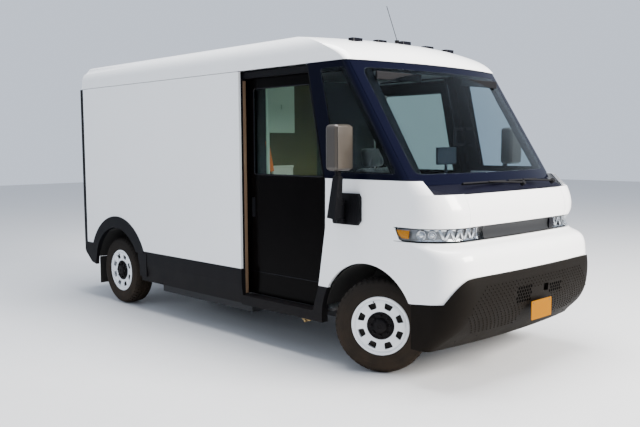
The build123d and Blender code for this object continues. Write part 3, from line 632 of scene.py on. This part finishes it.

# %% [markdown]
# What sits in the wheel. A black hub cap with a ring of nuts covers the bolts, a rubber valve stands
# by the rim, and a brake disc and a near-black disc fill the depth behind the windows. They are turned
# parts too. The near-black disc is painted shade: it stands in for the shade inside the wheel, since
# without it daylight on the inside of the barrel shows through the windows.

# %% Hub cap, nuts, valve and brake
cap_shell = lathe("cap_shell", [(-72, 106), (-86, 107), (-91, 104), (-92, 98), (-87, 92), (-87, 66),
                                (-97, 60), (-103, 54), (-109, 50), (-111, 44), (-111, 20), (-107, 16),
                                (-107, 0.01), (-70, 0.01), (-70, 106)], 64)


def nut(index):
    """One hexagonal wheel nut, standing on the disc."""
    bpy.ops.mesh.primitive_cylinder_add(vertices=6, radius=0.0125, depth=0.022, location=(-0.096, 0, 0.080),
                                        rotation=(0, math.pi / 2, 0))
    hexagon = bpy.context.object
    settle(hexagon)
    bevel(hexagon, 1.5, 2)
    hexagon.data.transform(Matrix.Rotation(math.radians(45 * index), 4, "X"))
    return hexagon


cap = join("wheel_cap", [cap_shell] + [nut(index) for index in range(WINDOWS)])
bpy.ops.mesh.primitive_torus_add(major_radius=0.1085, minor_radius=0.0035, rotation=(0, math.pi / 2, 0),
                                 location=(-0.085, 0, 0), major_segments=64, minor_segments=8)
ring = settle(bpy.context.object)
cap = join("wheel_cap", [cap, ring])
settle(cap, 30)
valve = lathe("valve", [(-60, 0.01), (-60, 4), (-84, 4), (-86, 5.5), (-98, 5.5), (-100, 4),
                        (-100, 0.01)], 12)
valve.data.transform(Matrix.Translation((0, 0.055, 0.190)))


rotor = lathe("rotor", [(20, 60), (20, 165), (-4, 165), (-4, 92), (-40, 88), (-40, 60)], 64)
# Painted shade: a near-black disc behind the windows stands in for the shade inside the wheel.
shield = lathe("shield", [(-52, 60), (-52, 195), (-48, 195), (-48, 60)], 64)

# %% [markdown]
# Four wheels from one. The joint of each wheel gives its centre and the way its axle points, so each
# copy is turned to face outwards and set on that centre. Taking the place from the joint, and not
# from a typed number, keeps the wheel true when it spins.

# %% Wheels on their joints
WHEEL_PIECES = {"tyre": (tyre, rubber, "tyre_rubber"), "steel": (wheel_steel, white_steel, "white_steel"),
                "cap": (cap, black_trim, "black_trim"), "valve": (valve, black_trim, "black_trim"),
                "rotor": (rotor, cast_metal, "cast_metal"),
                "shield": (shield, liner_black, "liner_black")}
joint_of = {joint["name"]: joint for joint in frame["joints"]}
carried_as = {"tyre": "tyre", "steel": "wheel"}
for side_name, side in SIDES.items():
    for end in ("front", "rear"):
        spin = joint_of[f"wheel_{end}_{side_name}_spin"]
        outward = Vector(spin["axis"]) * side
        heading = math.atan2(-outward.y, -outward.x)
        place = Matrix.Translation(Vector(spin["pos_m"])) @ Matrix.Rotation(heading, 4, "Z")
        for piece_name, (source, finish_mat, slot_name) in WHEEL_PIECES.items():
            piece = copy_to(source, f"{piece_name}_{end}_{side_name}", place)
            replaced = [f"{carried_as[piece_name]}_{end}_{side_name}"] if piece_name in carried_as else []
            finish(piece, f"wheel_{end}_{side_name}", finish_mat, slot_name, *replaced)
for source, _, _ in WHEEL_PIECES.values():
    bpy.data.objects.remove(source)
print("wheel pieces", 4 * len(WHEEL_PIECES))

# %% [markdown]
# The lamps lie in a band that runs across the nose and round the corners. Flat parts could be
# wrapped round it with a curve, but then each would need its own. Instead one helper turns a
# distance along the band, a height and a depth behind the skin into a place, and every lamp part is
# laid out with it as on an unrolled drawing.

# %% Lamp band helpers
LAMP_FLAT = 690
LAMP_CORNER = 340
LAMP_CORNER_Y = -385
LAMP_FRONT_Y = -740
LAMP_BOW = 34
HALF_WIDTH = 1030


def band_point(run, z, inset):
    """A point on the right-hand lamp band: run is the distance along it from the centre line."""
    if run <= LAMP_FLAT:
        x, y = run, LAMP_FRONT_Y + LAMP_BOW * (run / HALF_WIDTH) ** 2
        out_x, out_y = 0, -1
    else:
        theta = min((run - LAMP_FLAT) / LAMP_CORNER, math.pi / 2)
        beyond = max(0, run - LAMP_FLAT - LAMP_CORNER * math.pi / 2)
        out_x, out_y = math.sin(theta), -math.cos(theta)
        x = LAMP_FLAT + LAMP_CORNER * out_x
        y = LAMP_CORNER_Y + LAMP_CORNER * out_y + beyond
    return at(-(x - out_x * inset), y - out_y * inset, z)


def thicken(obj, thick, round_mm):
    modify(obj, "SOLIDIFY", thickness=thick * MM, offset=0)
    only(obj)
    bpy.ops.object.mode_set(mode="EDIT")
    bpy.ops.mesh.select_all(action="SELECT")
    bpy.ops.mesh.normals_make_consistent(inside=False)
    bpy.ops.object.mode_set(mode="OBJECT")
    if round_mm:
        bevel(obj, round_mm, 2)
    return settle(obj)


def band_plate(name, outline, inset, thick=6, round_mm=1.2):
    """A small plate on the band from (run, z) corners."""
    bpy.ops.mesh.primitive_circle_add(vertices=len(outline), radius=1, fill_type="NGON")
    obj = bpy.context.object
    obj.name = obj.data.name = name
    for vertex, (run, z) in zip(obj.data.vertices, outline):
        vertex.co = band_point(run, z, inset)
    return thicken(obj, thick, round_mm)


def band_strip(name, start, end, low, high, inset, thick=4, steps=40):
    """A long strip that follows the band round the corner."""
    bpy.ops.mesh.primitive_grid_add(x_subdivisions=steps, y_subdivisions=1, size=2)
    obj = bpy.context.object
    obj.name = obj.data.name = name
    for vertex in obj.data.vertices:
        run = start + (end - start) * (vertex.co.x + 1) / 2
        vertex.co = band_point(run, low + (high - low) * (vertex.co.y + 1) / 2, inset)
    return thicken(obj, thick, 0.6)


def bowl(name, run, z, radius, inset):
    """A round reflector: a rim, a dish and a lens bead, facing out of the band."""
    place, deeper = band_point(run, z, inset), band_point(run, z, inset + 10)
    turn = (place - deeper).to_track_quat("X", "Z").to_matrix().to_4x4()
    shape = [(2, radius), (5, radius - 2), (4, radius - 5), (-4, radius - 9), (-8, radius * 0.55),
             (-5, radius * 0.5), (4, radius * 0.42), (8, radius * 0.25), (9, 0.01), (-12, 0.01),
             (-10, radius)]
    dish = lathe(name, shape, 48)
    dish.data.transform(Matrix.Translation(place) @ turn)
    return dish


print("half band length", round(LAMP_FLAT + LAMP_CORNER * math.pi / 2))

# %% [markdown]
# Inside each headlamp are an amber corner marker, two round bowls and a row of slanted reflectors in
# front of a silver bezel. Real reflectors are one vacuum-plated moulding with hundreds of facets. A
# few thick slanted plates and two turned bowls catch the light in the same way behind the lens.

# %% Headlamp insides
LAMP_LOW, LAMP_HIGH = 1102, 1182
zigzag = []
for index in range(8):
    start = 566 + 46 * index
    low_z, high_z = (LAMP_LOW, LAMP_HIGH) if index % 2 else (LAMP_HIGH, LAMP_LOW)
    zigzag.append(band_plate("reflector", [(start, low_z), (start + 24, low_z), (start + 62, high_z),
                                           (start + 38, high_z)], 24 + 3 * (index % 2), 5))
bowls = [bowl("bowl", 1082, 1141, 37, 20), bowl("bowl", 996, 1141, 34, 24)]
finish_pair(join("lamp_reflectors", zigzag + bowls), "body", chrome, "lamp_chrome")
bezel = band_strip("lamp_bezel", 548, 1300, 1096, 1188, 35, 1.5, 60)
lamp_silver = material("lamp_silver", (0.20, 0.20, 0.21), 0.32, 60, 0.05, 0.12, 0.05,
                       Metallic=0.7)
finish_pair(bezel, "body", lamp_silver, "lamp_chrome")
marker = band_plate("corner_marker", [(1302, 1174), (1180, 1172), (1190, 1110), (1250, 1112),
                                      (1286, 1136)], 16, 12, 3)
finish_pair(marker, "body", amber, "clear_lens")
rims = [band_strip("rim", 546, 1312, 1184, 1190, 10, 5, 60),
        band_strip("rim", 546, 1262, 1094, 1099, 10, 5, 60),
        band_plate("rim", [(546, 1096), (554, 1096), (554, 1188), (546, 1188)], 10, 5)]
finish_pair(join("lamp_rim", rims), "body", satin_grey, "satin_grey")
scoop = band_plate("lamp_end_cover", [(1326, 1090), (1326, 1186), (1312, 1184), (1272, 1100), (1236, 1090)],
                   2.5, 4, 1.2)
finish_pair(scoop, "body", white_paint, "white_paint")
sensor = new_box("nose_sensor", (452, -742, 1102), (518, -716, 1184), 4)
eye = new_rod("sensor_eye", (485, -744, 1146), (485, -735, 1146), 17)
finish(join("nose_sensor", [sensor, eye]), "body", gloss_black, "gloss_black")
print("reflectors", len(zigzag), "bowls", len(bowls))

# %% [markdown]
# The bumper is one moulded skin. Raised studs in staggered rows give it grip and hide scratches,
# two patches of hexagonal holes let air in, and button fasteners hold its lower edge. A bump
# pattern would be lighter, but it would vanish in the plain mesh. So one stud is modelled, and each
# copy is laid on the skin where a straight line from the front meets it.

# %% Bumper skin and studs
bumper_skin = BVHTree.FromObject(nodes["front_bumper"], bpy.context.evaluated_depsgraph_get())


def on_bumper(x, z):
    """Where a line from ahead meets the bumper, and the way its surface faces."""
    return bumper_skin.ray_cast(at(x, -2000, z), Vector((0, 1, 0)))[:2]


def stud(name, sides, radius, height, round_mm=0.0):
    """A low tapered stud that points along +Z from the origin."""
    bpy.ops.mesh.primitive_cone_add(vertices=sides, radius1=radius * MM, radius2=radius * 0.35 * MM,
                                    depth=height * MM, location=(0, 0, height * MM * 0.4))
    obj = bpy.context.object
    obj.name = obj.data.name = name
    settle(obj, 20)
    if round_mm:
        bevel(obj, round_mm, 1)
    return obj


def lay_on(source, name, spots):
    """Copies of a small piece laid on the bumper at (x, z) spots."""
    copies = []
    for x, z in spots:
        place, facing = on_bumper(x, z)
        if place is None:
            continue
        turn = facing.to_track_quat("Z", "Y").to_matrix().to_4x4()
        copies.append(copy_to(source, name, Matrix.Translation(place) @ turn))
    bpy.data.objects.remove(source)
    return join(name, copies)


# %% [markdown]
# Where the studs and holes go. The studded field is a wide hexagon with staggered rows, and it
# leaves room for the two vents and the plate. The holes could be cut through the skin, but only
# their dark shapes are seen, so each is a low near-black hexagon laid on it: painted shade that
# stands in for the shade inside a hole.

# %% Studs, vents and fasteners
STUD_EDGE, STUD_SLOPE, STUD_MIDDLE = 890, 180, 560


def in_vent(x, z, margin=0):
    left = -326 - margin < x < -120 + margin and 596 - margin < z < 712 + margin
    right = 160 - margin < x < 345 + margin and 610 - margin < z < 706 + margin
    return left or right


def stud_limit(z):
    """Half width of the studded area at a height."""
    return STUD_EDGE - STUD_SLOPE * abs(z - STUD_MIDDLE) / (210 if z > STUD_MIDDLE else 170)


def staggered(low_x, high_x, low_z, high_z, step_x, step_z):
    spots = []
    for row in range(int((high_z - low_z) / step_z) + 1):
        start = low_x + (step_x / 2 if row % 2 else 0)
        for column in range(int((high_x - start) / step_x) + 1):
            spots.append((start + column * step_x, low_z + row * step_z))
    return spots


stud_spots = [(x, z) for x, z in staggered(-900, 900, 410, 780, 46, 24)
              if abs(x) < stud_limit(z) and not in_vent(x, z, 8) and not (abs(x) < 175 and z < 690)]
studs = lay_on(stud("bumper_studs", 6, 10, 6), "bumper_studs", stud_spots)
finish(studs, "body", charcoal, "charcoal_plastic")
# The vent holes are painted shade: low near-black hexagons laid on the skin.
vent_spots = [(x, z) for x, z in staggered(-330, 345, 602, 706, 34, 26) if in_vent(x, z)]
vents = lay_on(stud("bumper_vents", 6, 14, 2.0), "bumper_vents", vent_spots)
finish(vents, "body", vent_hole_shade, "black_trim")
fastener_spots = [(-576, 354), (-180, 400), (180, 400), (530, 380), (-800, 340), (800, 340)]
fasteners = lay_on(stud("bumper_fasteners", 16, 12, 5, 0.8), "bumper_fasteners", fastener_spots)
finish(fasteners, "body", black_trim, "black_trim")
screws = [new_rod("screw", (x, -942, z), (x, -947.5, z), 6, 16, 1) for x, z in ((-118, 568), (118, 568))]
finish(join("plate_screws", screws), "body", cast_metal, "cast_metal")
print("studs", len(stud_spots), "vents", len(vent_spots))

# %% [markdown]
# Door openings. Rubber seals close the gap between the sliding door, which hangs inside the body,
# and the pillars. A satin trim strip covers the front face of each rear post, and a rubber loop
# holds each door window. A seal could be a curve with a round section, but one that fills a tapered
# gap is better as a plate cut to the gap, so the front one is an outline with thickness.

# %% Door seals and trims
def side_plate(name, outline, x_low, x_high, round_mm=2):
    """A plate facing sideways, from (y, z) points, between two x values on the right side."""
    bpy.ops.mesh.primitive_circle_add(vertices=len(outline), radius=1, fill_type="NGON")
    obj = bpy.context.object
    obj.name = obj.data.name = name
    for vertex, (y, z) in zip(obj.data.vertices, outline):
        vertex.co = at(-(x_low + x_high) / 2, y, z)
    return thicken(obj, x_high - x_low, round_mm)


def loop(name, points, x, radius, closed=True):
    """A round bead that follows (y, z) points at one x on the right side."""
    ends = points[1:] + points[:1] if closed else points[1:]
    rods = [new_rod(name, (-x, *a), (-x, *b), radius, 12, 0) for a, b in zip(points, ends)]
    return join(name, rods)


# %% [markdown]
# The seals, beads and pulls themselves. The seals belong to the body and stay, and the window bead,
# the crease and the pull ride on the door and slide away with it. They are short bars and boxes
# joined in one piece for each finish.

# %% Seals, beads and pulls
front_seal = side_plate("door_seal_front", [(693, 2440), (484, 1530), (484, 1130), (563, 640), (634, 430),
                                            (590, 430), (512, 640), (430, 1130), (430, 1530), (640, 2440)],
                        924, 984)
top_seal = new_box("top_seal", (-976, 636, 2420), (-926, 1572, 2482), 4)
finish_pair(join("door_seals", [front_seal, top_seal]), "body", black_trim, "black_trim")
post_trim = new_box("post_trim", (-984, 1566, 430), (-953, 1573, 2400), 2)
post_finish = material("post_trim", (0.17, 0.105, 0.06), 0.42, 300, 0.1, 0.25)
finish_pair(post_trim, "body", post_finish, "satin_grey")
WINDOW = [(1492, 1560), (1480, 1548), (1470, 1545), (600, 1545), (588, 1548), (584, 1560), (742, 2312),
          (750, 2322), (762, 2326), (1470, 2326), (1484, 2320), (1492, 2308)]
window_bead = loop("window_bead", WINDOW, 919, 7)
crease = new_rod("door_crease", (-920, 585, 640), (-920, 1600, 640), 3.5, 12, 0)
finish_pair(join("door_beads", [window_bead, crease]), "cab_door_SIDE", gloss_black, "gloss_black")
pull = new_box("door_pull", (-928, 1488, 1150), (-917, 1530, 1330), 4)
grip = new_box("door_grip", (-934, 1496, 1170), (-926, 1506, 1310), 3)
finish_pair(join("door_pull", [pull, grip]), "cab_door_SIDE", black_trim, "black_trim")
print("door trims done")

# %% [markdown]
# Mirrors. The housing has a smooth front cover, and the glass sits inside a rim at the back. The
# glass could be painted on the housing, but a silvered sheet of its own reflects with a clean edge
# and turns with the head. Ribs stiffen the moulded foot of the arm.

# %% Mirror glass and covers
mirror_sheet = new_box("mirror_glass", (-1281, 172.5, 1634), (-1126, 175, 1949), 1)
finish_pair(mirror_sheet, "mirror_head_SIDE", mirror_face, "lamp_chrome")
cover = new_box("mirror_front", (-1284, 47.5, 1630), (-1123, 53, 1952), 2.4)
finish_pair(cover, "mirror_head_SIDE", head_cover, "black_trim")
rib_starts = [70 + 26 * index for index in range(4)]
base_ribs = [new_box("rib", (-1061, y, 1196), (-1056, y + 10, 1414), 1.5) for y in rib_starts]
finish_pair(join("mirror_base_ribs", base_ribs), "body", black_trim, "black_trim")
print("mirror ribs", len(base_ribs))

# %% [markdown]
# Cab inside. Seen through the glass are two sun visors, a screen on a stalk, an orange strap by
# the entry pole, the feet of the far grab handle and a small pale document box on the partition
# door. They are plain boxes and bars, because they are read only as shapes behind tinted glass.

# %% Cab inside
visors = [new_box("visor", (x, 40, 2326), (x + 560, 62, 2392), 8) for x in (-850, 270)]
finish(join("sun_visors", visors), "body", black_trim, "dash_plastic")
stalk = new_rod("stalk", (-130, -95, 1468), (-130, -95, 1660), 12)
screen = new_box("screen", (-262, -112, 1640), (0, -86, 1786), 8)
finish(join("cab_screen", [stalk, screen]), "body", dash_plastic, "dash_plastic")
glass_face = new_box("screen_face", (-252, -86.5, 1650), (-10, -84, 1776), 1)
finish(glass_face, "body", screen_glass, "gloss_black")
strap = new_box("entry_strap", (-812, 1462, 1560), (-768, 1466, 1850), 1.5)
STRAP_HOOK = at(-790, 1464, 1850)
STRAP_LEAN = math.radians(-12)
strap.data.transform(Matrix.Translation(STRAP_HOOK) @ Matrix.Rotation(STRAP_LEAN, 4, "Y")
                     @ Matrix.Translation(-STRAP_HOOK))
finish(strap, "body", belt_orange, "orange_plate")
feet = [new_box("handle_foot", (886, 424, z - 17), (990, 478, z + 17), 6) for z in (1803, 1957)]
finish(join("handle_feet", feet), "body", black_trim, "black_trim")
box_body = new_box("box_body", (-655, 1538, 1470), (-400, 1566, 1600), 5)
box_lid = new_box("box_lid", (-660, 1532, 1594), (-395, 1567, 1616), 4)
finish(join("document_box", [box_body, box_lid]), "bulkhead_door", box_card, "pale_rail")
print("cab done")

# %% [markdown]
# The driver's seat is foam under woven cloth. The engineering cushion is only its room. It could
# be sculpted, but real covers pull tight over foam by themselves, so a copy is given an even skin
# of small faces and is blown up a little as cloth. Piped seams run where the panels are sewn.

# %% Seat cushions
SKIN_SIZE = 8 * MM
PUFF_FRAMES = 20
PUFF_LIMIT = 14 * MM


def padded_copy(node, name):
    """A soft copy of a cushion node with an even skin, puffed out a little."""
    piece = copy_to(nodes[node], name, Matrix.Identity(4))
    modify(piece, "REMESH", mode="VOXEL", voxel_size=SKIN_SIZE)
    resting = [vertex.co.copy() for vertex in piece.data.vertices]
    only(piece)
    cloth = piece.modifiers.new("cloth", "CLOTH")
    cloth.settings.use_pressure = True
    cloth.settings.uniform_pressure_force = 4
    cloth.settings.effector_weights.gravity = 0
    cloth.point_cache.frame_end = PUFF_FRAMES
    for frame_number in range(1, PUFF_FRAMES + 1):
        bpy.context.scene.frame_set(frame_number)
    only(piece)
    bpy.ops.object.modifier_apply(modifier=cloth.name)
    bpy.context.scene.frame_set(1)
    for vertex, start in zip(piece.data.vertices, resting):
        moved = vertex.co - start
        if moved.length > PUFF_LIMIT:
            vertex.co = start + moved.normalized() * PUFF_LIMIT
    modify(piece, "SMOOTH", factor=0.5, iterations=4)
    modify(piece, "SUBSURF", levels=1)
    return settle(piece, 180)


cushion = padded_copy("seat_cushion", "padded_cushion")
backrest = padded_copy("seat_back", "padded_back")
finish(cushion, "body", seat_fabric, "seat_fabric", "seat_cushion")
finish(backrest, "body", seat_fabric, "seat_fabric", "seat_back")
piping = [new_rod("piping", (x, 620, 926), (x, 1010, 926), 4, 12, 0) for x in (260, 580)]
finish(join("seat_piping", piping), "body", dash_plastic, "seat_fabric")
print("cushions", len(cushion.data.polygons), len(backrest.data.polygons))

# %% [markdown]
# The back of the body. Each door has hinge barrels down its outer edge and a lock rod with keepers
# near the middle. The tail lamps have a clear reversing window and ribbed red lenses. Ribs could be
# a bump in the lens, but thin bars on its face still show in the plain mesh.

# %% Rear doors and tail lamps
rod_parts = [new_rod("lock_rod", (-70, 4658, 720), (-70, 4658, 2380), 9, 20, 1)]
rod_parts += [new_box("keeper", (-92, 4645, z), (-48, 4664, z + 26), 4) for z in (760, 1180, 1720, 2300)]
finish_pair(join("lock_rod", rod_parts), "rear_door_SIDE", cast_metal, "cast_metal")
barrels = []
for z in (860, 1500, 2180):
    barrels.append(new_rod("barrel", (-893, 4656, z), (-893, 4656, z + 110), 10, 20, 1.5))
    barrels.append(new_box("strap_end", (-884, 4645, z + 20), (-800, 4652, z + 90), 3))
finish_pair(join("rear_hinges", barrels), "rear_door_SIDE", black_trim, "black_trim")
ribs = [new_box("lamp_rib", (-1002, 4668, z), (-933, 4671, z + 5), 1) for z in range(1136, 1396, 13)]
finish_pair(join("tail_lamp_ribs", ribs), "body", red_lens, "red_lens")
reverse_lamp = new_box("reversing_lamp", (-1000, 4667, 1000), (-935, 4672, 1062), 3)
finish_pair(reverse_lamp, "body", mirror_face, "clear_lens")
print("lamp ribs", len(ribs))

# %% [markdown]
# Small fittings. A plated tie-down lug hangs under each sill: a bar, a plate and a cross pin. It
# could be one bent rod, but three simple pieces joined look like the welded fitting that it is.

# %% Small fittings
brass = material("zinc_fitting", (0.30, 0.21, 0.09), 0.4, 300, 0.2, 0.25, Metallic=0.8)
lug = [new_rod("lug", (-975, 700, 312), (-975, 790, 312), 13, 16, 2),
       new_box("lug_plate", (-990, 715, 318), (-955, 775, 332), 3),
       new_rod("lug_ring", (-1000, 745, 300), (-955, 745, 300), 12, 16, 2)]
finish_pair(join("sill_lug", lug), "body", brass, "cast_metal")
print("fittings done")

# %% [markdown]
# Floor and light. The floor is a plain pale sheet and the light is large and soft: a bright warm
# key on the nose, a wide panel above, and a cooler and weaker fill on the flank. Small lamps would
# give hard spots on the gloss paint, so every light is a panel several metres wide.

# %% Floor and light
def add_floor():
    bpy.ops.mesh.primitive_plane_add(size=60, location=(0, 0, 0))
    floor = bpy.context.object
    floor.name = floor.data.name = "floor"
    floor.data.materials.append(material("floor_grey", (0.56, 0.565, 0.575), 0.55, 40, 0.1, 0.03))


def add_area(name, place, target, size, power, color):
    data = bpy.data.lights.new(name, "AREA")
    data.shape = "RECTANGLE"
    data.size, data.size_y = size
    data.energy = power
    data.color = color
    light = bpy.data.objects.new(name, data)
    light.location = place
    light.rotation_euler = (Vector(target) - Vector(place)).to_track_quat("-Z", "Y").to_euler()
    bpy.context.scene.collection.objects.link(light)


add_floor()
world = bpy.data.worlds.new("studio")
bpy.context.scene.world = world
world.use_nodes = True
sky = world.node_tree.nodes["Background"]
sky.inputs["Color"].default_value = (0.78, 0.86, 1.0, 1)
sky.inputs["Strength"].default_value = 1.05
add_area("key", (3.0, -12.0, 6.5), (0, -1.5, 1.2), (7, 5), 5600, (1.0, 0.94, 0.86))
add_area("top", (0, -1, 9.0), (0, 0, 0), (5, 7), 1900, (1, 1, 1))
add_area("flank", (-11, 3, 5), (-1, 1, 1.2), (6, 4), 160, (0.80, 0.90, 1.0))
print("lights", len(bpy.data.lights))
